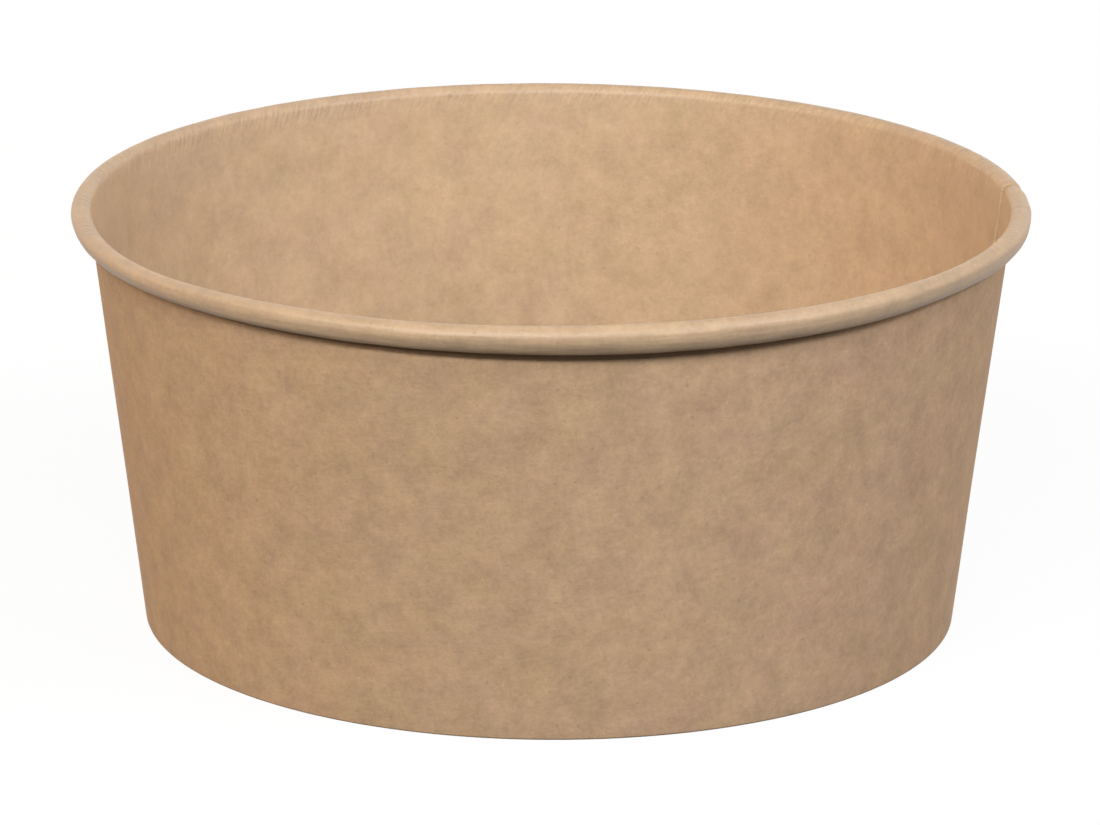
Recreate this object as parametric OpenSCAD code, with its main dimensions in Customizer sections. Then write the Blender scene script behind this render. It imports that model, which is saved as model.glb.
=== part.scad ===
// Round paper bowl with a rolled rim. Two boards: a tapered side wall cut from one
// flat blank, lapped and sealed in one upright seam, and a bottom disc with a
// turned-down flange that the folded foot of the wall holds.
// Millimetres, +Z up, origin at the middle of the footprint on the table.

/* [Bowl] */
// Outer diameter over the rolled rim
rim_d = 150; // [110:1:190]
// Height from the table to the top of the rim
bowl_h = 67.6; // [45:0.1:90]
// Lean of the side wall away from upright, in degrees
wall_taper = 7; // [3:0.1:12]

/* [Board] */
// Thickness of the side wall's board
wall_board = 0.4; // [0.3:0.02:0.5]
// Thickness of the bottom disc's board
disc_board = 0.36; // [0.3:0.02:0.5]
// Film between two boards that are sealed face to face
seal_gap = 0.02; // [0.01:0.01:0.05]

/* [Rolled rim] */
// Width of the roll in section
roll_w = 3.3; // [2.8:0.1:4.4]
// Height of the roll in section
roll_h = 4.7; // [4.2:0.1:6]
// Turn of the roll's outer side back toward the wall, in degrees
side_turn = 50; // [25:1:60]
// Least gap left between the roll's tail and the wall
tail_gap = 0.15; // [0.1:0.01:0.5]
// Length of the board's end tucked up inside the roll
roll_tuck = 1.2; // [0.4:0.1:1.8]

/* [Foot] */
// Height of the disc's underside above the table
foot_recess = 6.5; // [4:0.1:12]
// Middle radius of each of the two folds under the foot
fold_r = 0.26; // [0.25:0.01:0.3]
// Middle radius of the disc's turned-down corner
corner_r = 0.55; // [0.45:0.01:0.8]
// Step from the disc's underside down to the hem's raw edge
hem_step = 0.9; // [0.8:0.1:2]
// Step from the foot's fold up to the flange's raw edge
flange_step = 0.3; // [0.1:0.1:1]

/* [Side seam] */
// Direction of the seam's inner raw edge, turned from +X toward +Y
seam_angle = 8; // [0:1:359]
// Turn round the bowl that the lap takes up, in degrees
lap_turn = 6.4; // [4:0.1:12]
// Steps in which the outer layer climbs onto the lap
climb_steps = 4; // [3:1:8]
// Turn round the bowl of each of those steps, in degrees
step_turn = 1; // [0.4:0.1:1.5]

/* [Hidden] */
$fn = 180;
wall_colour = [0.70, 0.57, 0.44];
disc_colour = [0.74, 0.61, 0.48];

// Radii and offsets in the section are kept to whole hundredths of a millimetre
function hundredth(x) = round(x * 100) / 100;

// Tightest inside radius that the board is folded to
tight_r = 0.05;

rim_r = rim_d / 2;
half_board = wall_board / 2;

// The roll: over the top, down its outer side in a slacker bend, and in under itself.
// Both lower bends together fall by roll_fall and come back as far as the tail allows.
top_r = roll_w / 2 - half_board;
roll_fall = roll_h - top_r - wall_board;
side_lean = (1 - cos(side_turn)) / sin(side_turn);
roll_back = top_r * (1 + cos(wall_taper)) - wall_board - tail_gap;
low_share = 1 + cos(side_turn) - side_lean * (1 - sin(side_turn));
low_r = hundredth((roll_back - roll_fall * side_lean) / low_share);
side_r = hundredth((roll_fall - low_r * (1 - sin(side_turn))) / sin(side_turn));

// Where the wall runs into the roll, and where it leaves the fold
wall_end_r = rim_r - half_board - top_r - top_r * cos(wall_taper);
wall_end_z = bowl_h - half_board - top_r + top_r * sin(wall_taper);
wall_start_z = half_board + fold_r * (1 - sin(wall_taper));
wall_run = (wall_end_z - wall_start_z) / cos(wall_taper);
wall_start_r = wall_end_r - wall_run * sin(wall_taper);

// The foot is three boards thick: wall, flange and hem
hem_pitch = wall_board + disc_board + 2 * seal_gap;
flat_w = (hem_pitch - 2 * fold_r) / cos(wall_taper);
flat_out_r = wall_start_r - fold_r * cos(wall_taper);
flat_in_r = flat_out_r - flat_w;
hem_run = (foot_recess - hem_step - half_board - fold_r) / cos(wall_taper);

// Middle line of the flange, one board and one film inside the wall's middle line
disc_mid_z = foot_recess + disc_board / 2;
flange_top_z = disc_mid_z - corner_r * (1 + sin(wall_taper));
flange_in = (half_board + seal_gap + disc_board / 2) / cos(wall_taper);
flange_top_r = wall_start_r - flange_in + (flange_top_z - wall_start_z) * tan(wall_taper);
disc_flat_r = flange_top_r - corner_r * cos(wall_taper);
flange_run = (flange_top_z - wall_board - flange_step) / cos(wall_taper);

// The lap, as angles round the bowl
wall_from = seam_angle + lap_turn;
wall_to = seam_angle + 360 - climb_steps * step_turn;

// A straight run of board, from the current point along the current heading (+Y).
// $in and $out are the offsets of the board's two faces to the right of the heading.
module run(length) {
    translate([$in, 0])
        square([$out - $in, length]);
    translate([0, length])
        children();
}

// A turn of up to 90 degrees, to the left when positive. What follows starts at its end.
module turn_part(radius, angle) {
    side = sign(angle);
    inner_r = max(tight_r, min(radius + side * $in, radius + side * $out));
    outer_r = max(radius + side * $in, radius + side * $out);
    reach = 2 * outer_r;
    translate([-side * radius, 0]) {
        intersection() {
            difference() {
                circle(r = outer_r);
                circle(r = inner_r);
            }
            translate([-reach, 0])
                square([2 * reach, reach]);
            rotate(angle)
                translate([-reach, -reach])
                    square([2 * reach, reach]);
        }
        rotate(angle)
            translate([side * radius, 0])
                children();
    }
}

// A turn of up to 180 degrees.
module turn(radius, angle) {
    if (abs(angle) > 90)
        turn_part(radius, angle / 2)
            turn_part(radius, angle / 2)
                children();
    else
        turn_part(radius, angle)
            children();
}

// Section of the side wall's board, with its faces at in and out of the middle line
module board_section(in, out, tuck) {
    // Out along the foot, up the wall and round the roll
    translate([flat_in_r, half_board])
        rotate(-90) {
            $in = in;
            $out = out;
            run(flat_w)
                turn(fold_r, 90 - wall_taper)
                    run(wall_run)
                        turn(top_r, wall_taper - 180)
                            turn(side_r, -side_turn)
                                turn(low_r, side_turn - 180)
                                    if (tuck > 0) run(tuck);
        }
    // Back from the foot and up the hem, where left and right trade places
    translate([flat_in_r, half_board])
        rotate(90) {
            $in = -out;
            $out = -in;
            turn(fold_r, -90 - wall_taper)
                run(hem_run);
        }
}

// The same section, pressed flat where it would stand below the table
module pressed_section(in, out, tuck) {
    difference() {
        board_section(in, out, tuck);
        translate([0, -rim_r])
            square(rim_r);
    }
}

// Turns a section round the bowl's axis from one direction to another
module swept(from, to) {
    rotate_extrude(start = from, angle = to - from)
        children();
}

module sidewall() {
    color(wall_colour) {
        // One layer of board for most of the way round
        swept(wall_from, wall_to)
            board_section(-half_board, half_board, roll_tuck);
        // The same layer climbing over the seam's inner edge
        for (i = [1 : climb_steps]) {
            shift = hundredth(wall_board * i / (climb_steps + 1));
            step_from = wall_to + step_turn * (i - 1);
            swept(step_from, step_from + step_turn)
                pressed_section(shift - half_board, shift + half_board, roll_tuck);
        }
        // The lap, two layers sealed into one thickness, without the tuck
        swept(seam_angle, wall_from)
            pressed_section(-half_board, half_board + wall_board, 0);
    }
}

module bottom_disc() {
    color(disc_colour)
        rotate_extrude() {
            translate([0, foot_recess])
                square([disc_flat_r, disc_board]);
            translate([disc_flat_r, disc_mid_z])
                rotate(-90) {
                    $in = -disc_board / 2;
                    $out = disc_board / 2;
                    turn(corner_r, -90 - wall_taper)
                        run(flange_run);
                }
        }
}

sidewall();
bottom_disc();
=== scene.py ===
"""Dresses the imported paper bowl: its two boards as real bent sheets, their kraft finish, and a plain studio.

Each board is one section of runs and bends, which is swept round the bowl's axis and given its thickness. The
kraft pattern lies on the board's flat blank, which is the piece's UV map.
"""

import logging
import math
from dataclasses import dataclass, field
from enum import Enum
from typing import Any

import bmesh
import bpy
from mathutils import Matrix, Vector, noise


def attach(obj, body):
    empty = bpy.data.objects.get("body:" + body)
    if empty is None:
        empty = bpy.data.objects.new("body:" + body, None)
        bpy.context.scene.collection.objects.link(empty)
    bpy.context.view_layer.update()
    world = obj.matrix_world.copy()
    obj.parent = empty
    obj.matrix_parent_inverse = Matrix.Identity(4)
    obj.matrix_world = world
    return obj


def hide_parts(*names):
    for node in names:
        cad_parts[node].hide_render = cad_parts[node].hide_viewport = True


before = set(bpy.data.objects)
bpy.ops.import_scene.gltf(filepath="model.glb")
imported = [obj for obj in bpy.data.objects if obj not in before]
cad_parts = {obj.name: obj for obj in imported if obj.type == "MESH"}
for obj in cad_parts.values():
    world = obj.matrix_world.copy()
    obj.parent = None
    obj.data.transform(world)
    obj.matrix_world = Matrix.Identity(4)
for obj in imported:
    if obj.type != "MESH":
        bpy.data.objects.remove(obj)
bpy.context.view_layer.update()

# One millimetre in the scene's metres
MM = 0.001
# How far apart the kinds of face of a board lie on its UV map, in mm
SIDE_STEP = 400.0
# How far a pattern's shift goes across the blank, for each mm that it goes along it
SHIFT_ACROSS = 0.7
# The offset that gives a board's outside another pattern than its food side
OUTSIDE_SHIFT = 300.0
# How high the fibres stand up from the board, in mm
FIBRE_RELIEF = 0.02
# Folds sharper than this many degrees stay crisp
CRISP_FOLD = 50.0
WHITE = (1.0, 1.0, 1.0)
log = logging.getLogger("paper_bowl")

Colour = tuple[float, float, float]
Socket = bpy.types.NodeSocket


class Side(Enum):
    """The faces of a board, in the order of its piece's material slots."""

    FOOD = 0
    OUTSIDE = 1
    CUT = 2


class Ground(Enum):
    """What a pattern is laid on: the board's flat blank, or the piece's own space."""

    BLANK = "UV"
    PIECE = "Object"


def share(value: float) -> float:
    """A value held between 0 and 1."""
    return min(max(value, 0.0), 1.0)


def spread(start: float, span: float, parts: int) -> list[float]:
    """The starts of the equal parts that a span is cut into."""
    return [start + span * i / parts for i in range(parts)]


def placed(name: str, data: Any) -> bpy.types.Object:
    """Makes an object of some data and puts it in the scene."""
    made = bpy.data.objects.new(name, data)
    bpy.context.scene.collection.objects.link(made)
    return made


def meshed(name: str, shape: bmesh.types.BMesh) -> bpy.types.Mesh:
    """Turns a bmesh into a mesh, and frees it."""
    mesh = bpy.data.meshes.new(name)
    shape.to_mesh(mesh)
    shape.free()
    return mesh


# The shader bench


class Signal:
    """One number in a node tree. Python's operators on it add Math nodes."""

    def __init__(self, bench: "Bench", socket: Socket) -> None:
        """Wraps a socket.

        Args:
            bench: the bench whose tree the socket is in.
            socket: the output socket.
        """
        self.bench = bench
        self.socket = socket

    def math(self, operation: str, *others: Any) -> "Signal":
        """Adds one Math node.

        Args:
            operation: the Math node's operation.
            others: the node's further inputs, as signals or numbers.

        Returns:
            The node's value.
        """
        return self.bench.value("ShaderNodeMath", {"operation": operation}, dict(enumerate((self, *others))))

    def __add__(self, other: Any) -> "Signal":
        """self + other."""
        return self.math("ADD", other)

    __radd__ = __add__

    def __mul__(self, other: Any) -> "Signal":
        """self * other."""
        return self.math("MULTIPLY", other)

    __rmul__ = __mul__

    def __sub__(self, other: Any) -> "Signal":
        """self - other."""
        return self.math("SUBTRACT", other)

    def __rsub__(self, other: Any) -> "Signal":
        """other - self."""
        return (self * -1.0) + other

    def __abs__(self) -> "Signal":
        """The value without its sign."""
        return self.math("ABSOLUTE")

    def ramp(self, low: float, high: float) -> "Signal":
        """Rises smoothly from 0 at low to 1 at high.

        Args:
            low: the value that gives 0.
            high: the value that gives 1; below low, the ramp falls.

        Returns:
            The ramp's value.
        """
        if high < low:
            return 1.0 - self.ramp(high, low)
        ends = {"Value": self, "From Min": low, "From Max": high}
        return self.bench.value("ShaderNodeMapRange", {"interpolation_type": "SMOOTHSTEP"}, ends, "Result")


def added(parts: list[Signal]) -> Signal:
    """The sum of some signals."""
    return sum(parts[1:], parts[0])


class Bench:
    """Builds the node tree of one material or world."""

    def __init__(self, owner: bpy.types.Material | bpy.types.World) -> None:
        """Starts an empty tree.

        Args:
            owner: the material or world that the tree is for.
        """
        self.owner = owner
        self.owner.use_nodes = True
        self.tree = owner.node_tree
        self.tree.nodes.clear()

    def node(self, kind: str, settings: dict[str, Any], sockets: dict[Any, Any]) -> bpy.types.Node:
        """Adds one node, its settings first and then its inputs.

        Args:
            kind: the node's type.
            settings: the node's properties.
            sockets: its inputs, by name or index, as signals, sockets or plain values.

        Returns:
            The new node.
        """
        made = self.tree.nodes.new(kind)
        for name, value in settings.items():
            setattr(made, name, value)
        for key, value in sockets.items():
            if isinstance(value, Signal):
                value = value.socket
            if isinstance(value, Socket):
                self.tree.links.new(value, made.inputs[key])
            else:
                made.inputs[key].default_value = value
        return made

    def value(self, kind: str, settings: dict[str, Any], sockets: dict[Any, Any], output: Any = 0) -> Signal:
        """Adds one node and gives one of its outputs as a signal."""
        return Signal(self, self.node(kind, settings, sockets).outputs[output])

    def vector(self, operation: str, sockets: dict[Any, Any], output: Any = 0) -> Socket:
        """Adds one Vector Math node and gives one of its outputs."""
        return self.node("ShaderNodeVectorMath", {"operation": operation}, sockets).outputs[output]

    def joined(self, first: Any, second: Any, third: Any = 0.0) -> Socket:
        """Puts numbers together to one point or colour."""
        return self.node("ShaderNodeCombineXYZ", {}, {0: first, 1: second, 2: third}).outputs[0]

    def place(self, ground: Ground) -> Socket:
        """Where a point lies on the ground, in metres."""
        return self.node("ShaderNodeTexCoord", {}, {}).outputs[ground.value]

    def millimetres(self, ground: Ground) -> Socket:
        """Where a point lies on the ground, in millimetres."""
        return self.vector("SCALE", {0: self.place(ground), "Scale": 1.0 / MM})

    def length(self, point: Socket) -> Signal:
        """How far a point lies from the origin."""
        return Signal(self, self.vector("LENGTH", {0: point}, "Value"))

    def turned(
        self,
        point: Socket,
        degrees: float = 0.0,
        shift: float = 0.0,
        stretch: tuple[float, float] = (1.0, 1.0),
    ) -> Socket:
        """Turns, stretches and shifts a pattern on the blank.

        Args:
            point: the point on the blank.
            degrees: the turn.
            shift: an offset that makes the pattern another one.
            stretch: the scale along and across.

        Returns:
            The new point.
        """
        laid = {
            "Vector": point,
            "Location": (shift, shift * SHIFT_ACROSS, shift),
            "Rotation": (0.0, 0.0, math.radians(degrees)),
            "Scale": (*stretch, 1.0),
        }
        return self.node("ShaderNodeMapping", {"vector_type": "POINT"}, laid).outputs[0]

    def noise(
        self,
        point: Socket,
        size: float,
        detail: float,
        roughness: float = 0.5,
        solid: bool = False,
    ) -> Signal:
        """A cloudy pattern about 0.5.

        Args:
            point: where to read it.
            size: about how large its blots are, in the point's units.
            detail: how many finer layers it has.
            roughness: how strong the finer layers are.
            solid: whether it runs through the board, and not only over the flat blank.

        Returns:
            The pattern.
        """
        inputs = {"Vector": point, "Scale": 1.0 / size, "Detail": detail, "Roughness": roughness}
        return self.value("ShaderNodeTexNoise", {"noise_dimensions": "3D" if solid else "2D"}, inputs, "Fac")

    def mix(self, factor: Signal, low: Colour | Socket, high: Colour | Socket) -> Socket:
        """Mixes two colours.

        Args:
            factor: the share of the second one.
            low: the first colour.
            high: the second colour.

        Returns:
            The mixed colour.
        """
        colours = {k: (*v, 1.0) if isinstance(v, tuple) else v for k, v in ((6, low), (7, high))}
        return self.node("ShaderNodeMix", {"data_type": "RGBA"}, {0: factor, **colours}).outputs[2]

    def seen(self) -> Signal:
        """1 for rays that see the background, straight or by way of gloss or glass, and 0 for the others."""
        path = self.node("ShaderNodeLightPath", {}, {})
        rays = ("Is Camera Ray", "Is Glossy Ray", "Is Transmission Ray")
        straight, gloss, glass = (Signal(self, path.outputs[ray]) for ray in rays)
        return straight.math("MAXIMUM", gloss).math("MAXIMUM", glass)

    def board(
        self,
        colour: Socket,
        matt: Signal,
        specular: float,
        height: Signal,
        relief: float,
    ) -> bpy.types.Material:
        """Finishes the tree as a board's surface.

        Args:
            colour: its colour.
            matt: its roughness.
            specular: how strongly it mirrors.
            height: its fine relief.
            relief: how high a relief of 1 stands, in metres.

        Returns:
            The finished material.
        """
        bump = self.node("ShaderNodeBump", {}, {"Strength": 1.0, "Distance": relief, "Height": height})
        inputs = {
            "Base Color": colour,
            "Roughness": matt,
            "Specular IOR Level": specular,
            "Normal": bump.outputs[0],
        }
        shader = self.node("ShaderNodeBsdfPrincipled", {}, inputs)
        self.node("ShaderNodeOutputMaterial", {}, {"Surface": shader.outputs[0]})
        return self.owner


# The kraft pattern, sizes in millimetres on the flat blank


@dataclass(frozen=True, kw_only=True)
class Layer:
    """One layer of the kraft pattern.

    Its tone is how much paler it makes the board, its height how far it stands up and its matt how much
    rougher it is. A fine layer follows the finish's grain. Degrees and shift say how it lies on the blank.
    """

    tone: float
    height: float = 0.0
    matt: float = 0.0
    fine: bool = False
    degrees: float = 0.0
    shift: float = 0.0

    def lay(self, bench: Bench, point: Socket, bend: Signal) -> Signal:
        """Lays the pattern.

        Args:
            bench: the material's bench.
            point: the point on the blank.
            bend: a slack pattern that makes fibres wander.

        Returns:
            The pattern.
        """
        raise NotImplementedError


@dataclass(frozen=True, kw_only=True)
class Clouds(Layer):
    """Cloudy pulp, darker and paler about 0."""

    size: float
    detail: float
    roughness: float

    def lay(self, bench: Bench, point: Socket, bend: Signal) -> Signal:
        """Lays the clouds, as Layer says."""
        laid = bench.turned(point, self.degrees, self.shift)
        return bench.noise(laid, self.size, self.detail, self.roughness) - 0.5


@dataclass(frozen=True, kw_only=True)
class Fibres(Layer):
    """Fine fibres 1 to 3 mm long, all near one direction: 1 on a fibre and 0 beside it."""

    fine: bool = True
    stretch: tuple[float, float] = (0.5, 2.6)
    wander: float = 3.0
    width: float = 0.07
    length: float = 1.6
    ends: tuple[float, float] = (0.42, 0.62)

    def lay(self, bench: Bench, point: Socket, bend: Signal) -> Signal:
        """Lays the fibres, as Layer says."""
        lane = bench.turned(point, self.degrees, self.shift, self.stretch)
        bent = bench.vector("MULTIPLY_ADD", {0: (0.0, self.wander, 0.0), 1: bend, 2: lane})
        line = abs(bench.noise(bent, 1.0, 1.0) - 0.5)
        return line.ramp(self.width, 0.0) * bench.noise(lane, self.length, 0.0).ramp(*self.ends)


@dataclass(frozen=True, kw_only=True)
class Flecks(Layer):
    """Small specks of bark and pulp: 1 on a speck and 0 beside it."""

    pitch: float
    size: float
    edge: tuple[float, float] = (0.12, -0.1)
    rarity: tuple[float, float] = (0.55, 0.85)

    def lay(self, bench: Bench, point: Socket, bend: Signal) -> Signal:
        """Lays the specks, as Layer says."""
        laid = {"Vector": bench.turned(point, self.degrees, self.shift), "Scale": 1.0 / self.pitch}
        cells = bench.node("ShaderNodeTexVoronoi", {"voronoi_dimensions": "2D", "feature": "F1"}, laid)
        near = Signal(bench, cells.outputs["Distance"]) * self.pitch
        pick = bench.value("ShaderNodeSeparateColor", {}, {0: cells.outputs["Color"]})
        return (near - pick * self.size).ramp(*self.edge) * pick.ramp(*self.rarity)


@dataclass(frozen=True)
class Stretch:
    """A stretch of the rim that its tool left uneven: its middle, its reach to each side and its amount."""

    middle: float
    reach: float
    amount: float

    def at(self, place: float) -> float:
        """The amount at a place, falling to 0 well away from the middle."""
        return self.amount * math.exp(-(((place - self.middle) / self.reach) ** 2))


@dataclass(frozen=True)
class RimPlace:
    """Where the rolled rim lies on the side wall's blank, which is a ring sector.

    The apex is how far the sector's centre lies below the blank's origin, and wall_end how far from that
    centre the roll begins. Where the roll is tight, the painted shade line under it lies a little higher.
    """

    apex: float
    wall_end: float
    tight: tuple[Stretch, ...]

    def of_point(self, bench: Bench, side: Side) -> tuple[Signal, Signal]:
        """Where a point lies on the sector.

        Args:
            bench: the material's bench.
            side: the kind of face that the material is for.

        Returns:
            How far round from the sector's middle and how far out from the wall's end the point lies.
        """
        to_apex = (-SIDE_STEP * side.value, self.apex, 0.0)
        from_apex = bench.vector("ADD", {0: bench.millimetres(Ground.BLANK), 1: to_apex})
        parts = bench.node("ShaderNodeSeparateXYZ", {}, {0: from_apex})
        across, up = (Signal(bench, parts.outputs[axis]) for axis in "XY")
        return across.math("ARCTAN2", up) * self.wall_end, bench.length(from_apex) - self.wall_end


@dataclass(frozen=True, kw_only=True)
class KraftFinish:
    """Unbleached kraft board: cloudy pulp, a net of fine fibres, and dark and pale flecks.

    The rosy clouds change only the green share of the colour, and the warm ones only the blue. The rim is
    None on a board that has no roll.
    """

    name: str
    shift: float
    rim: RimPlace | None
    pulp: Colour
    matt: float
    specular: float
    contrast: float
    grain: float
    relief: float = FIBRE_RELIEF * MM
    bend_size: float = 2.2
    layers: tuple[Layer, ...] = (
        Clouds(tone=0.88, height=3.0, matt=0.4, size=7.0, detail=4.5, roughness=0.9),
        Clouds(tone=0.09, height=1.0, matt=0.12, fine=True, size=0.5, detail=2.0, roughness=0.7),
        Fibres(tone=0.06, height=0.5, degrees=20.0, shift=3.0),
        Fibres(tone=-0.07, degrees=84.0, shift=40.0),
        Fibres(tone=0.04, degrees=-38.0, shift=80.0),
        Flecks(tone=-0.16, pitch=3.1, size=0.22),
        Flecks(tone=0.09, pitch=3.7, size=0.26, degrees=40.0, shift=17.0),
    )
    rosy: Clouds = Clouds(tone=-0.16, size=14.0, detail=5.0, roughness=0.9, degrees=70.0, shift=123.0)
    warm: Clouds = Clouds(tone=-0.26, size=16.0, detail=5.0, roughness=0.9, degrees=30.0, shift=57.0)

    def make(self) -> bpy.types.Material:
        """Builds the material.

        Returns:
            The finished material.
        """
        bench = Bench(bpy.data.materials.new(self.name))
        point = bench.turned(bench.millimetres(Ground.BLANK), shift=self.shift)
        bend = bench.noise(point, self.bend_size, 1.0)
        laid = [(layer, layer.lay(bench, point, bend)) for layer in self.layers]
        laid = [(layer, pattern * self.grain if layer.fine else pattern) for layer, pattern in laid]
        laid += self.marks(bench)
        tone = added([pattern * layer.tone for layer, pattern in laid]) * self.contrast + 1.0
        height = added([pattern * layer.height for layer, pattern in laid if layer.height])
        matt = added([pattern * layer.matt for layer, pattern in laid if layer.matt]) + self.matt
        green, blue = (
            tone + tint.lay(bench, point, bend) * (tint.tone * self.contrast)
            for tint in (self.rosy, self.warm)
        )
        colour = bench.vector("MULTIPLY", {0: self.pulp, 1: bench.joined(tone, green, blue)})
        # Painted shade, where a finish has one, goes on the colour last
        return bench.board(self.with_painted_shade(bench, colour), matt, self.specular, height, self.relief)

    def marks(self, bench: Bench) -> list[tuple[Layer, Signal]]:
        """What work on the board has left on this face, as further layers with their patterns."""
        return []

    def with_painted_shade(self, bench: Bench, colour: Socket) -> Socket:
        """The colour with the face's painted shade laid on it."""
        return colour


@dataclass(frozen=True, kw_only=True)
class FoodSide(KraftFinish):
    """The board's filmed face, which is also the roll's outer one, with the marks of rolling on it.

    Those are streaks along the roll and short wrinkles on its lip, counted to the millimetre round the roll
    and across it.
    """

    pulp: Colour = (0.456, 0.318, 0.193)
    matt: float = 0.46
    specular: float = 0.45
    contrast: float = 0.68
    grain: float = 0.5
    streak: Layer = Layer(tone=0.3, height=4.0)
    streaks: tuple[float, float] = (0.09, 0.9)
    streak_detail: float = 3.0
    streak_roughness: float = 0.6
    streak_start: tuple[float, float] = (-0.8, 0.8)
    wrinkle: Layer = Layer(tone=0.25, height=8.0)
    wrinkles: tuple[float, float] = (1.2, 0.22)
    wrinkle_slant: float = 0.5
    wrinkle_start: tuple[float, float] = (-3.0, -0.5)
    wrinkle_end: tuple[float, float] = (4.0, 1.5)

    def marks(self, bench: Bench) -> list[tuple[Layer, Signal]]:
        """What rolling has left on the rim.

        Args:
            bench: the material's bench.

        Returns:
            The streaks and the wrinkles, each about 0, or nothing on a board without a roll.
        """
        if self.rim is None:
            return []
        round_way, out = self.rim.of_point(bench, Side.FOOD)
        lane = bench.joined(round_way * self.streaks[0], out * self.streaks[1])
        streak = bench.noise(lane, 1.0, self.streak_detail, self.streak_roughness) - 0.5
        lane = bench.joined(round_way * self.wrinkles[0] + out * self.wrinkle_slant, out * self.wrinkles[1])
        wrinkle = bench.noise(lane, 1.0, 1.0) - 0.5
        on_lip = out.ramp(*self.wrinkle_start) * out.ramp(*self.wrinkle_end)
        return [(self.streak, streak * out.ramp(*self.streak_start)), (self.wrinkle, wrinkle * on_lip)]


@dataclass(frozen=True, kw_only=True)
class Outside(KraftFinish):
    """The board's plain face, with a dark line of painted shade on the wall just under the roll."""

    pulp: Colour = (0.472, 0.315, 0.187)
    matt: float = 0.78
    specular: float = 0.25
    contrast: float = 0.9
    grain: float = 0.8
    # Painted shade under the roll: its dark brown, how much of it is mixed in, and where it starts out from
    # the wall's end, in mm
    painted_shade: Colour = (0.24, 0.13, 0.055)
    painted_shade_share: float = 0.8
    painted_shade_start: tuple[float, float] = (-4.15, -3.5)

    def with_painted_shade(self, bench: Bench, colour: Socket) -> Socket:
        """Lays the painted shade, a dark line on the wall just under the roll, on the colour.

        Args:
            bench: the material's bench.
            colour: the board's colour.

        Returns:
            The colour with the painted shade line, or as it was on a board without a roll.
        """
        if self.rim is None:
            return colour
        round_way, out = self.rim.of_point(bench, Side.OUTSIDE)
        higher = added([abs(round_way - s.middle).ramp(s.reach, 0.0) * s.amount for s in self.rim.tight])
        line = (out - higher).ramp(*self.painted_shade_start)
        # Painted shade: the wall just under the roll is mixed toward dark brown
        return bench.mix(line * self.painted_shade_share, colour, self.painted_shade)


@dataclass(frozen=True)
class CutEdge:
    """The board's cut edge: paler pulp in fine layers."""

    name: str
    pulp: Colour = (0.58, 0.43, 0.29)
    glue: Colour = (0.43, 0.30, 0.18)
    layer_size: float = 0.12
    layer_detail: float = 3.0
    layer_roughness: float = 0.65
    layer_edge: tuple[float, float] = (0.35, 0.65)
    matt: float = 0.75
    matt_change: float = 0.2
    specular: float = 0.15
    relief: float = FIBRE_RELIEF * MM

    def make(self) -> bpy.types.Material:
        """Builds the material.

        Returns:
            The finished material.
        """
        bench = Bench(bpy.data.materials.new(self.name))
        point = bench.millimetres(Ground.PIECE)
        layers = bench.noise(point, self.layer_size, self.layer_detail, self.layer_roughness, solid=True)
        colour = bench.mix(layers.ramp(*self.layer_edge), self.glue, self.pulp)
        return bench.board(colour, layers * self.matt_change + self.matt, self.specular, layers, self.relief)


def kraft_finishes(board: str, shift: float, rim: RimPlace | None = None) -> dict[Side, bpy.types.Material]:
    """The three finishes of one board.

    Args:
        board: the board's name.
        shift: an offset that gives the board its own pattern.
        rim: where the rolled rim lies on the blank, for the board that has one.

    Returns:
        The material of each kind of face.
    """
    food = FoodSide(name=f"{board}_food_side", shift=shift, rim=rim)
    outside = Outside(name=f"{board}_outside", shift=shift + OUTSIDE_SHIFT, rim=rim)
    cut = CutEdge(f"{board}_cut_edge")
    return {Side.FOOD: food.make(), Side.OUTSIDE: outside.make(), Side.CUT: cut.make()}


# Bent board


def ahead(heading: float) -> Vector:
    """The way of a heading in the section, in degrees up from straight outward."""
    a = math.radians(heading)
    return Vector((math.cos(a), 0.0, math.sin(a)))


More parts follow.
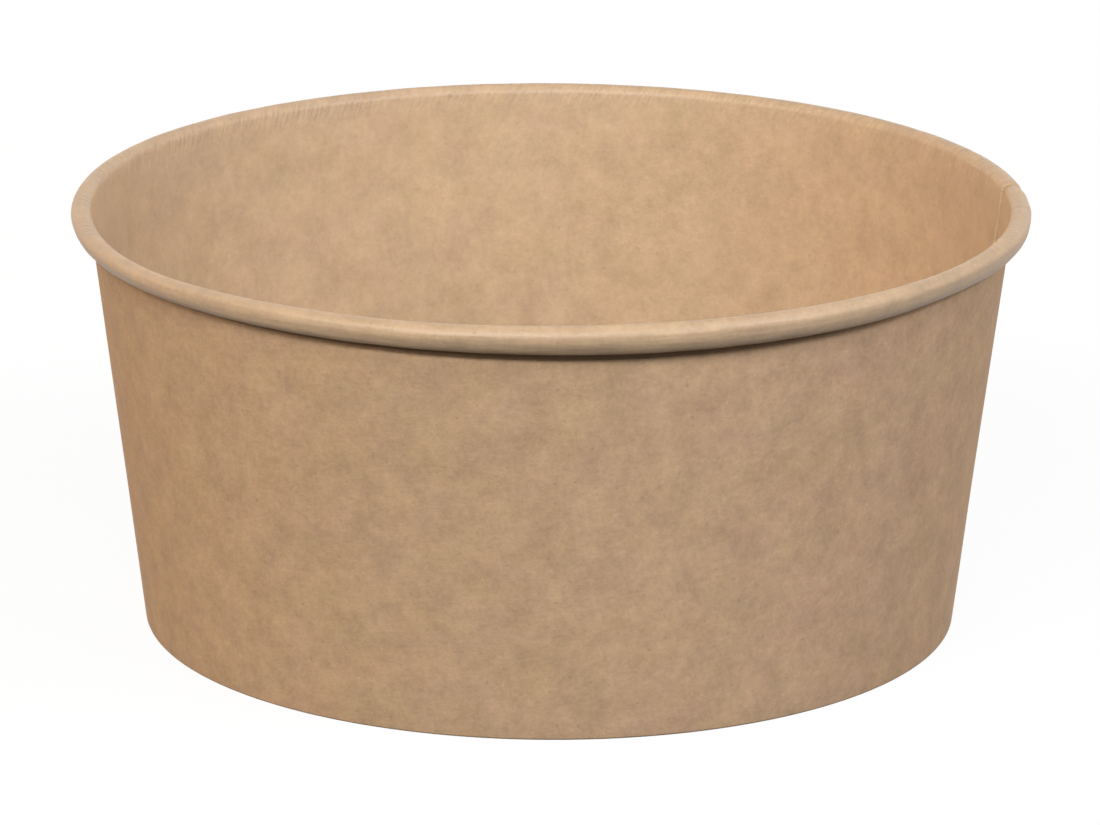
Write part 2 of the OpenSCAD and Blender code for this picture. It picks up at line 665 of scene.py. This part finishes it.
@dataclass
class Board:
    """A flat blank that is bent along a section and swept round the bowl's axis.

    Sizes are in millimetres, and directions round the bowl in degrees from +X toward +Y. The pattern's shift
    gives the board a kraft pattern of its own.
    """

    thickness: float = 0.4
    pattern_shift: float = 0.0
    sheet: bmesh.types.BMesh = field(init=False)
    start: bmesh.types.BMVert = field(init=False)
    tip: bmesh.types.BMVert = field(init=False)
    heading: float = field(init=False)

    def lay_start(self, radius: float, height: float, heading: float) -> None:
        """Puts down the section's first point.

        Args:
            radius: its distance from the axis.
            height: its height above the table.
            heading: the way the section sets off, in degrees up from straight outward.
        """
        self.sheet = bmesh.new()
        for name in ("along", "face_out", "face_up", "turn"):
            self.sheet.verts.layers.float.new(name)
        self.start = self.tip = self.sheet.verts.new((radius * MM, 0.0, height * MM))
        self.heading = heading

    def lay_run(self, length: float, parts: int = 1) -> None:
        """Lays a straight stretch of board from the tip.

        Args:
            length: its length.
            parts: how many edges it is made of.
        """
        step = ahead(self.heading) * (length * MM / parts)
        for _ in range(parts):
            new = bmesh.ops.extrude_vert_indiv(self.sheet, verts=[self.tip])["verts"]
            bmesh.ops.translate(self.sheet, verts=new, vec=step)
            self.tip = new[0]

    def lay_turn(self, radius: float, angle: float, parts: int) -> None:
        """Lays a bend of board from the tip.

        Args:
            radius: the bend's middle radius.
            angle: how far it turns, in degrees, positive to the left of its heading.
            parts: how many edges it is made of.
        """
        made = bmesh.ops.spin(
            self.sheet,
            geom=[self.tip],
            cent=self.tip.co + ahead(self.heading + math.copysign(90.0, angle)) * (radius * MM),
            axis=(0.0, -1.0, 0.0),
            dvec=(0.0, 0.0, 0.0),
            angle=math.radians(angle),
            steps=parts,
            use_merge=False,
            use_duplicate=False,
        )
        self.tip = next(g for g in made["geom_last"] if isinstance(g, bmesh.types.BMVert))
        self.heading += angle

    def mark_section(self) -> None:
        """Writes on each point how far along the board it lies and which way the board's right face looks."""
        layers = self.sheet.verts.layers.float
        along, out, up = layers["along"], layers["face_out"], layers["face_up"]
        chain, edge = [self.start], None
        while len(chain) == 1 or chain[-1] != self.tip:
            edge = next(e for e in chain[-1].link_edges if e != edge)
            chain.append(edge.other_vert(chain[-1]))
        reach = 0.0
        for i, vert in enumerate(chain):
            before, after = chain[max(i - 1, 0)], chain[min(i + 1, len(chain) - 1)]
            way = ((after.co - vert.co).normalized() + (vert.co - before.co).normalized()).normalized()
            reach += (vert.co - before.co).length / MM
            vert[along], vert[out], vert[up] = reach, way.z, -way.x

    def turn_round(self, verts: list[bmesh.types.BMVert], degrees: float) -> None:
        """Turns points round the bowl's axis."""
        turn = Matrix.Rotation(math.radians(degrees), 3, "Z")
        bmesh.ops.rotate(self.sheet, verts=verts, cent=(0.0, 0.0, 0.0), matrix=turn)

    def sweep(self, stops: list[float]) -> None:
        """Extrudes the section round the axis, and writes on each point how far round it lies.

        Args:
            stops: the directions of the section's copies.
        """
        turn = self.sheet.verts.layers.float["turn"]
        self.turn_round(self.sheet.verts[:], stops[0])
        for vert in self.sheet.verts:
            vert[turn] = stops[0]
        edges = self.sheet.edges[:]
        for before, now in zip(stops, stops[1:]):
            made = bmesh.ops.extrude_edge_only(self.sheet, edges=edges)["geom"]
            verts = [g for g in made if isinstance(g, bmesh.types.BMVert)]
            fresh = set(verts)
            edges = [g for g in made if isinstance(g, bmesh.types.BMEdge) and fresh.issuperset(g.verts)]
            self.turn_round(verts, now - before)
            for vert in verts:
                vert[turn] = now

    def face_way(self, vert: bmesh.types.BMVert) -> Vector:
        """The way the board's right face looks at a point."""
        layers = self.sheet.verts.layers.float
        a = math.radians(vert[layers["turn"]])
        out = vert[layers["face_out"]]
        return Vector((math.cos(a) * out, math.sin(a) * out, vert[layers["face_up"]]))

    def blank_point(self, along: float, turn: float) -> Vector:
        """Where a point of the sheet lies on the flat blank, in metres."""
        raise NotImplementedError

    def thicken(self) -> None:
        """Gives the sheet its thickness, its three kinds of face, and its place on the blank as UV."""
        bm = self.sheet
        layers = bm.verts.layers.float
        along, turn = layers["along"], layers["turn"]
        ways = {v: self.face_way(v) for v in bm.verts}
        for vert, way in ways.items():
            vert.co -= way * (self.thickness * MM / 2)
        inner = bm.faces[:]
        everything = inner + bm.edges[:] + bm.verts[:]
        made = bmesh.ops.extrude_face_region(bm, geom=everything, use_keep_orig=True)["geom"]
        outer = {g for g in made if isinstance(g, bmesh.types.BMFace)}
        for vert in (g for g in made if isinstance(g, bmesh.types.BMVert)):
            vert.co += self.face_way(vert) * (self.thickness * MM)
        bmesh.ops.recalc_face_normals(bm, faces=bm.faces[:])
        blank = bm.loops.layers.uv.new("blank")
        kept = set(inner)
        for face in bm.faces:
            side = Side.FOOD if face in kept else Side.OUTSIDE if face in outer else Side.CUT
            face.material_index = side.value
            face.smooth = side is not Side.CUT
            for loop in face.loops:
                spot = self.blank_point(loop.vert[along], loop.vert[turn])
                loop[blank].uv = (spot.x + SIDE_STEP * MM * side.value, spot.y)

    def piece(self, name: str, finishes: dict[Side, bpy.types.Material]) -> bpy.types.Object:
        """Turns the sheet into an object.

        Args:
            name: the piece's name.
            finishes: the material of each kind of face.

        Returns:
            The new object, at the origin.
        """
        mesh = meshed(name, self.sheet)
        mesh.set_sharp_from_angle(angle=math.radians(CRISP_FOLD))
        for side in Side:
            mesh.materials.append(finishes[side])
        return placed(name, mesh)


@dataclass(frozen=True)
class Swell:
    """A smooth unevenness of the board: its waves round the bowl and along the board, and its depth."""

    round_way: float
    along: float
    depth: float
    shift: tuple[float, float] = (0.0, 0.0)

    def at(self, reach: float, turn: float) -> float:
        """How far the board stands off.

        Args:
            reach: how far along the board the place lies.
            turn: how far round the bowl it lies.

        Returns:
            The distance, as much to one side as to the other.
        """
        a = math.radians(turn)
        ring = Vector((math.cos(a), math.sin(a), 0.0)) * self.round_way
        return self.depth * noise.noise(ring + Vector((*self.shift, reach * self.along)))


@dataclass
class SideWall(Board):
    """The side wall's board: hem, foot fold, tapered wall and rolled rim, lapped over itself at the seam."""

    # The section's sizes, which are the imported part's own
    rim_d: float = 150.0
    bowl_h: float = 67.6
    taper: float = 7.0
    roll_w: float = 3.3
    roll_h: float = 4.7
    side_r: float = 3.52
    side_turn: float = 50.0
    low_r: float = 0.66
    tuck: float = 1.2
    foot_recess: float = 6.5
    fold_r: float = 0.26
    hem_step: float = 0.9
    foot_pitch: float = 0.8

    # The lap, the climb onto it and the least gap in it, and the direction of the blank's middle
    seam_at: float = 8.0
    lap: float = 6.4
    lap_parts: int = 8
    climb: float = 4.0
    climb_parts: int = 12
    body_parts: int = 350
    ease: float = 0.004
    blank_middle: float = 190.0

    # What the rolling tool left uneven, by direction: the roll's size as a share, and dips of the rim in mm.
    # Each tight stretch also has its reach along the wall and its lift of the painted shade line under the
    # roll.
    tight_left: Stretch = Stretch(212.0, 30.0, -0.08)
    tight_right: Stretch = Stretch(328.0, 14.0, -0.15)
    slack_front: Stretch = Stretch(280.0, 14.0, 0.04)
    # Reach along the wall and lift in mm of the painted shade line under the roll, at each tight stretch
    painted_shade_left: tuple[float, float] = (75.0, 0.26)
    painted_shade_right: tuple[float, float] = (35.0, 0.48)
    dips: tuple[Stretch, ...] = (
        Stretch(210.0, 26.0, 1.05),
        Stretch(252.0, 18.0, 0.42),
        Stretch(290.0, 30.0, 0.2),
    )

    # How the wall sags inward between the foot and the roll, and how the roll swells and puckers
    sag: Swell = Swell(2.2, 0.02, 0.12)
    sag_depth: float = 0.06
    sag_start: float = 7.0
    sag_start_reach: float = 15.0
    sag_end_reach: float = 6.0
    pucker: Swell = Swell(16.0, 0.35, 0.06)
    band: Swell = Swell(1.4, 1.1, 0.07, (7.0, 3.0))
    swell_height: float = 0.05
    swell_start_reach: float = 3.0

    # Where the wall starts and ends along the board, the ring sector's centre below the blank's origin, and
    # where the roll leaves the wall
    wall_from: float = field(init=False)
    wall_to: float = field(init=False)
    apex: float = field(init=False)
    roll_root: Vector = field(init=False)

    def build(self) -> bpy.types.Object:
        """Bends, laps, thickens and finishes the sheet.

        Returns:
            The finished piece.
        """
        self._lay_section()
        self.mark_section()
        self.sweep(self._stops())
        self._shape()
        self.thicken()
        finishes = kraft_finishes("wall_board", self.pattern_shift, self._rim_place())
        return self.piece("kraft_sidewall", finishes)

    def _lay_section(self) -> None:
        """Lays the section from the hem's raw edge to the tuck inside the roll."""
        half = self.thickness / 2
        lean, angle = self.taper, math.radians(self.taper)
        cos, sin = math.cos(angle), math.sin(angle)
        top_r = self.roll_w / 2 - half
        end_r = self.rim_d / 2 - half - top_r * (1 + cos)
        end_z = self.bowl_h - half - top_r * (1 - sin)
        start_z = half + self.fold_r * (1 - sin)
        run = (end_z - start_z) / cos
        start_r = end_r - run * sin
        hem = (self.foot_recess - self.hem_step - half - self.fold_r) / cos
        flat = (self.foot_pitch - 2 * self.fold_r) / cos
        hem_r = start_r - 2 * self.fold_r * cos - flat + hem * sin
        hem_z = half + self.fold_r * (1 + sin) + hem * cos
        self.wall_from = hem + flat + math.pi * self.fold_r
        self.wall_to = self.wall_from + run
        self.apex = start_r / sin - self.wall_from
        self.roll_root = Vector((end_r, 0.0, end_z)) * MM
        self.lay_start(hem_r, hem_z, -90.0 - lean)
        self.lay_run(hem, parts=5)
        self.lay_turn(self.fold_r, 90.0 + lean, parts=8)
        self.lay_run(flat)
        self.lay_turn(self.fold_r, 90.0 - lean, parts=8)
        self.lay_run(run, parts=26)
        self.lay_turn(top_r, lean - 180.0, parts=20)
        self.lay_turn(self.side_r, -self.side_turn, parts=8)
        self.lay_turn(self.low_r, self.side_turn - 180.0, parts=12)
        self.lay_run(self.tuck, parts=2)

    def _stops(self) -> list[float]:
        """The directions of the sweep's copies: fine over the climb and the lap, and even elsewhere."""
        first, last = self.seam_at, self.seam_at + 360.0
        lap = spread(first, self.lap, self.lap_parts)
        body = spread(first + self.lap, last - self.climb - first - self.lap, self.body_parts)
        climb = spread(last - self.climb, self.climb, self.climb_parts)
        over = spread(last, self.lap, self.lap_parts)
        return lap + body + climb + over + [last + self.lap]

    def _shape(self) -> None:
        """Lays the end of the sheet over its start, and gives the board a real one's small unevenness."""
        layers = self.sheet.verts.layers.float
        along, turn = layers["along"], layers["turn"]
        low = (self.bowl_h - self.roll_h) * MM
        for vert in self.sheet.verts:
            reach, at = vert[along], vert[turn]
            way = self.face_way(vert)
            rise = share((at - (self.seam_at + 360.0 - self.climb)) / self.climb)
            vert.co += way * (rise * rise * (3 - 2 * rise) * (self.thickness + self.ease) * MM)
            if reach > self.wall_to:
                self._settle_roll(vert, at)
            if vert.co.z > low:
                dip = sum(stretch.at(at) for stretch in self.dips)
                vert.co.z = low + (vert.co.z - low) * (1.0 - dip / self.roll_h)
            vert.co += way * (self._wave(reach, at) * MM)
            vert.co.z = max(vert.co.z, self.thickness * MM / 2)

    def _settle_roll(self, vert: bmesh.types.BMVert, at: float) -> None:
        """Makes the roll tighter or slacker about the wall's end, as its tool left it.

        Args:
            vert: a point of the roll.
            at: how far round it lies.
        """
        size = 1.0 + self.tight_left.at(at) + self.tight_right.at(at) + self.slack_front.at(at)
        tight = min(size, 1.0)
        way = Matrix.Rotation(math.radians(at), 3, "Z")
        root, across = way @ self.roll_root, way @ Vector((1.0, 0.0, 0.0))
        off = vert.co - root
        fall = off.z * (size if off.z < 0 else tight)
        vert.co = root + across * (off.dot(across) * tight) + Vector((0.0, 0.0, fall))

    def _wave(self, reach: float, at: float) -> float:
        """How far the board stands off its true shape: inward on the wall, and into the roll on the rim.

        Args:
            reach: how far along the board the place lies.
            at: how far round it lies.

        Returns:
            The distance, positive to the board's right.
        """
        above_foot = (reach - self.wall_from - self.sag_start) / self.sag_start_reach
        free = share(min(above_foot, (self.wall_to - reach) / self.sag_end_reach))
        rolled = share((reach - self.wall_to) / self.swell_start_reach)
        swell = self.swell_height + self.pucker.at(reach, at) + self.band.at(reach, at)
        return rolled * max(swell, 0.0) - free * max(self.sag_depth + self.sag.at(reach, at), 0.0)

    def _blank_angle(self, turn: float) -> float:
        """How far round the flat ring sector a direction lies from the sector's middle, in radians."""
        return math.radians(turn - self.blank_middle) * math.sin(math.radians(self.taper))

    def _rim_place(self) -> RimPlace:
        """Where the roll and its tight stretches lie on the blank, with the lifts of the painted shade line.
        """
        wall_end = self.apex + self.wall_to
        pairs = ((self.tight_left, self.painted_shade_left), (self.tight_right, self.painted_shade_right))
        # Each tight stretch carries the reach and lift of the painted shade line under the roll
        tight = tuple(Stretch(self._blank_angle(roll.middle) * wall_end, *painted_shade) for roll, painted_shade in pairs)
        return RimPlace(self.apex, wall_end, tight)

    def blank_point(self, along: float, turn: float) -> Vector:
        """Where a point of the sheet lies on the flat ring sector, in metres."""
        reach, angle = (self.apex + along) * MM, self._blank_angle(turn)
        return Vector((reach * math.sin(angle), reach * math.cos(angle) - self.apex * MM, 0.0))


@dataclass
class BottomDisc(Board):
    """The bottom's board: a disc whose edge is turned down between the wall and its hem."""

    thickness: float = 0.36
    pattern_shift: float = 91.0
    recess: float = 6.5
    flat_r: float = 63.587
    corner_r: float = 0.55
    flange: float = 5.4
    taper: float = 7.0
    round_parts: int = 240
    weld: float = 0.0001

    def build(self) -> bpy.types.Object:
        """Bends, thickens and finishes the disc.

        Returns:
            The finished piece.
        """
        self.lay_start(0.0, self.recess + self.thickness / 2, 0.0)
        self.lay_run(self.flat_r, parts=24)
        self.lay_turn(self.corner_r, -90.0 - self.taper, parts=8)
        self.lay_run(self.flange, parts=5)
        self.mark_section()
        self.sweep(spread(0.0, 360.0, self.round_parts) + [360.0])
        bmesh.ops.remove_doubles(self.sheet, verts=self.sheet.verts[:], dist=self.weld * MM)
        self.thicken()
        return self.piece("kraft_bottom_disc", kraft_finishes("disc_board", self.pattern_shift))

    def blank_point(self, along: float, turn: float) -> Vector:
        """Where a point of the sheet lies on the flat disc, in metres."""
        a = math.radians(turn)
        return Vector((math.cos(a), math.sin(a), 0.0)) * (along * MM)


# The studio


@dataclass(frozen=True)
class Lamp:
    """A soft oblong lamp that looks at the bowl.

    It stands aside to the left of the camera by an angle round the bowl and hangs at an elevation above the
    table, both in degrees. Its size is in metres and its power in watts. Without gloss, it doesn't show as a
    reflection in the board.
    """

    name: str
    aside: float
    elevation: float
    size: tuple[float, float]
    power: float
    tint: Colour = WHITE
    gloss: bool = True
    distance: float = 2.2
    looks_at: tuple[float, float, float] = (0.0, 0.0, 0.035)

    def hang(self) -> None:
        """Hangs the lamp."""
        turn, lift = math.radians(self.aside), math.radians(self.elevation)
        way = Vector((-math.sin(turn) * math.cos(lift), -math.cos(turn) * math.cos(lift), math.sin(lift)))
        place = way * self.distance
        data = bpy.data.lights.new(self.name, "AREA")
        data.shape = "RECTANGLE"
        data.size, data.size_y = self.size
        data.energy, data.color = self.power, self.tint
        made = placed(self.name, data)
        made.location = place
        made.visible_glossy = self.gloss
        made.rotation_euler = (Vector(self.looks_at) - place).to_track_quat("-Z", "Y").to_euler()


@dataclass(frozen=True)
class Studio:
    """A plain white floor, soft lamps and the camera, as in the photograph.

    The camera's eye and its nearest and farthest sight are in metres, its depression and roll in degrees, its
    focal length and sensor in millimetres. The floor has two greys: floor_bounce sends light to the bowl, and
    floor_paint takes its shadow. The shadow is that paint's share in the white that the camera sees, and it
    fades out between shadow_ends, in metres from the bowl's axis.
    """

    eye: tuple[float, float, float] = (0.0, -1.0088, 0.3343)
    depression: float = 16.67
    roll: float = 0.27
    focal: float = 218.35
    sensor: float = 36.0
    sight: tuple[float, float] = (0.05, 50.0)
    floor_reach: float = 6.0
    floor_bounce: float = 0.05
    floor_paint: float = 0.9
    shadow: float = 0.07
    shadow_ends: tuple[float, float] = (0.12, 0.5)
    sky: float = 0.06
    lamps: tuple[Lamp, ...] = (
        Lamp("front", 13.0, 38.0, (2.0, 0.25), 45.0, (0.97, 0.98, 1.0)),
        Lamp("left", 56.0, 26.0, (1.2, 0.3), 15.5, (1.0, 0.84, 0.70)),
        Lamp("left_edge", 100.0, 24.0, (1.2, 0.45), 9.0, (1.0, 0.52, 0.18), gloss=False),
        Lamp("right", -56.0, 38.0, (1.2, 0.3), 20.5, (0.86, 0.9, 1.0)),
        Lamp("right_edge", -80.0, 24.0, (1.2, 0.45), 16.0, (1.0, 0.93, 0.97), gloss=False),
        Lamp("back", 180.0, 9.0, (2.4, 0.3), 26.0, gloss=False),
        Lamp("back_left", 150.0, 9.0, (1.2, 0.3), 7.0, gloss=False),
        Lamp("back_right", -150.0, 9.0, (1.2, 0.3), 7.0, gloss=False),
    )

    def camera(self) -> None:
        """Puts the camera where the photograph's stood."""
        data = bpy.data.cameras.new("photo_camera")
        data.lens, data.sensor_width = self.focal, self.sensor
        data.clip_start, data.clip_end = self.sight
        made = placed("photo_camera", data)
        tilt = Matrix.Rotation(math.radians(90.0 - self.depression), 4, "X")
        roll = Matrix.Rotation(math.radians(self.roll), 4, "Z")
        made.matrix_world = Matrix.Translation(self.eye) @ tilt @ roll
        bpy.context.scene.camera = made

    def floor(self) -> None:
        """Lays the floor: white to the camera, with the bowl's soft shadow kept."""
        shape = bmesh.new()
        bmesh.ops.create_grid(shape, x_segments=1, y_segments=1, size=self.floor_reach)
        mesh = meshed("studio_floor", shape)
        made = placed("studio_floor", mesh)
        bench = Bench(bpy.data.materials.new("studio_floor"))
        bounce, paint = (
            bench.node("ShaderNodeBsdfDiffuse", {}, {"Color": (grey, grey, grey, 1.0)}).outputs[0]
            for grey in (self.floor_bounce, self.floor_paint)
        )
        white = bench.node("ShaderNodeEmission", {}, {"Color": (*WHITE, 1.0), "Strength": 1.0}).outputs[0]
        away = bench.length(bench.place(Ground.PIECE))
        glow = away.ramp(*self.shadow_ends) * self.shadow + (1.0 - self.shadow)
        shown = bench.node("ShaderNodeMixShader", {}, {0: glow, 1: paint, 2: white}).outputs[0]
        both = bench.node("ShaderNodeMixShader", {}, {0: bench.seen(), 1: bounce, 2: shown}).outputs[0]
        bench.node("ShaderNodeOutputMaterial", {}, {"Surface": both})
        mesh.materials.append(bench.owner)

    def world(self) -> None:
        """Even light from all round, white where the camera sees it."""
        bench = Bench(bpy.data.worlds.new("studio"))
        around, white = (
            bench.node("ShaderNodeBackground", {}, {"Color": (*WHITE, 1.0), "Strength": strength}).outputs[0]
            for strength in (self.sky, 1.0)
        )
        both = bench.node("ShaderNodeMixShader", {}, {0: bench.seen(), 1: around, 2: white}).outputs[0]
        bench.node("ShaderNodeOutputWorld", {}, {"Surface": both})
        bpy.context.scene.world = bench.owner

    def build(self) -> None:
        """Sets up the camera, the floor and the light."""
        self.camera()
        self.floor()
        self.world()
        for lamp in self.lamps:
            lamp.hang()
        bpy.context.scene.view_settings.view_transform = "Standard"


def main() -> None:
    """Builds each piece and the studio."""
    logging.basicConfig(level=logging.INFO, format="%(name)s: %(message)s")
    wall, disc = SideWall().build(), BottomDisc().build()
    for piece, node, slot in ((wall, "sidewall", "wall_board"), (disc, "bottom_disc", "disc_board")):
        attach(piece, "root")
        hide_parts(node)
        log.info("%s: %d faces, stands for %s", piece.name, len(piece.data.polygons), node)
    Studio().build()


if __name__ == "__main__":
    main()
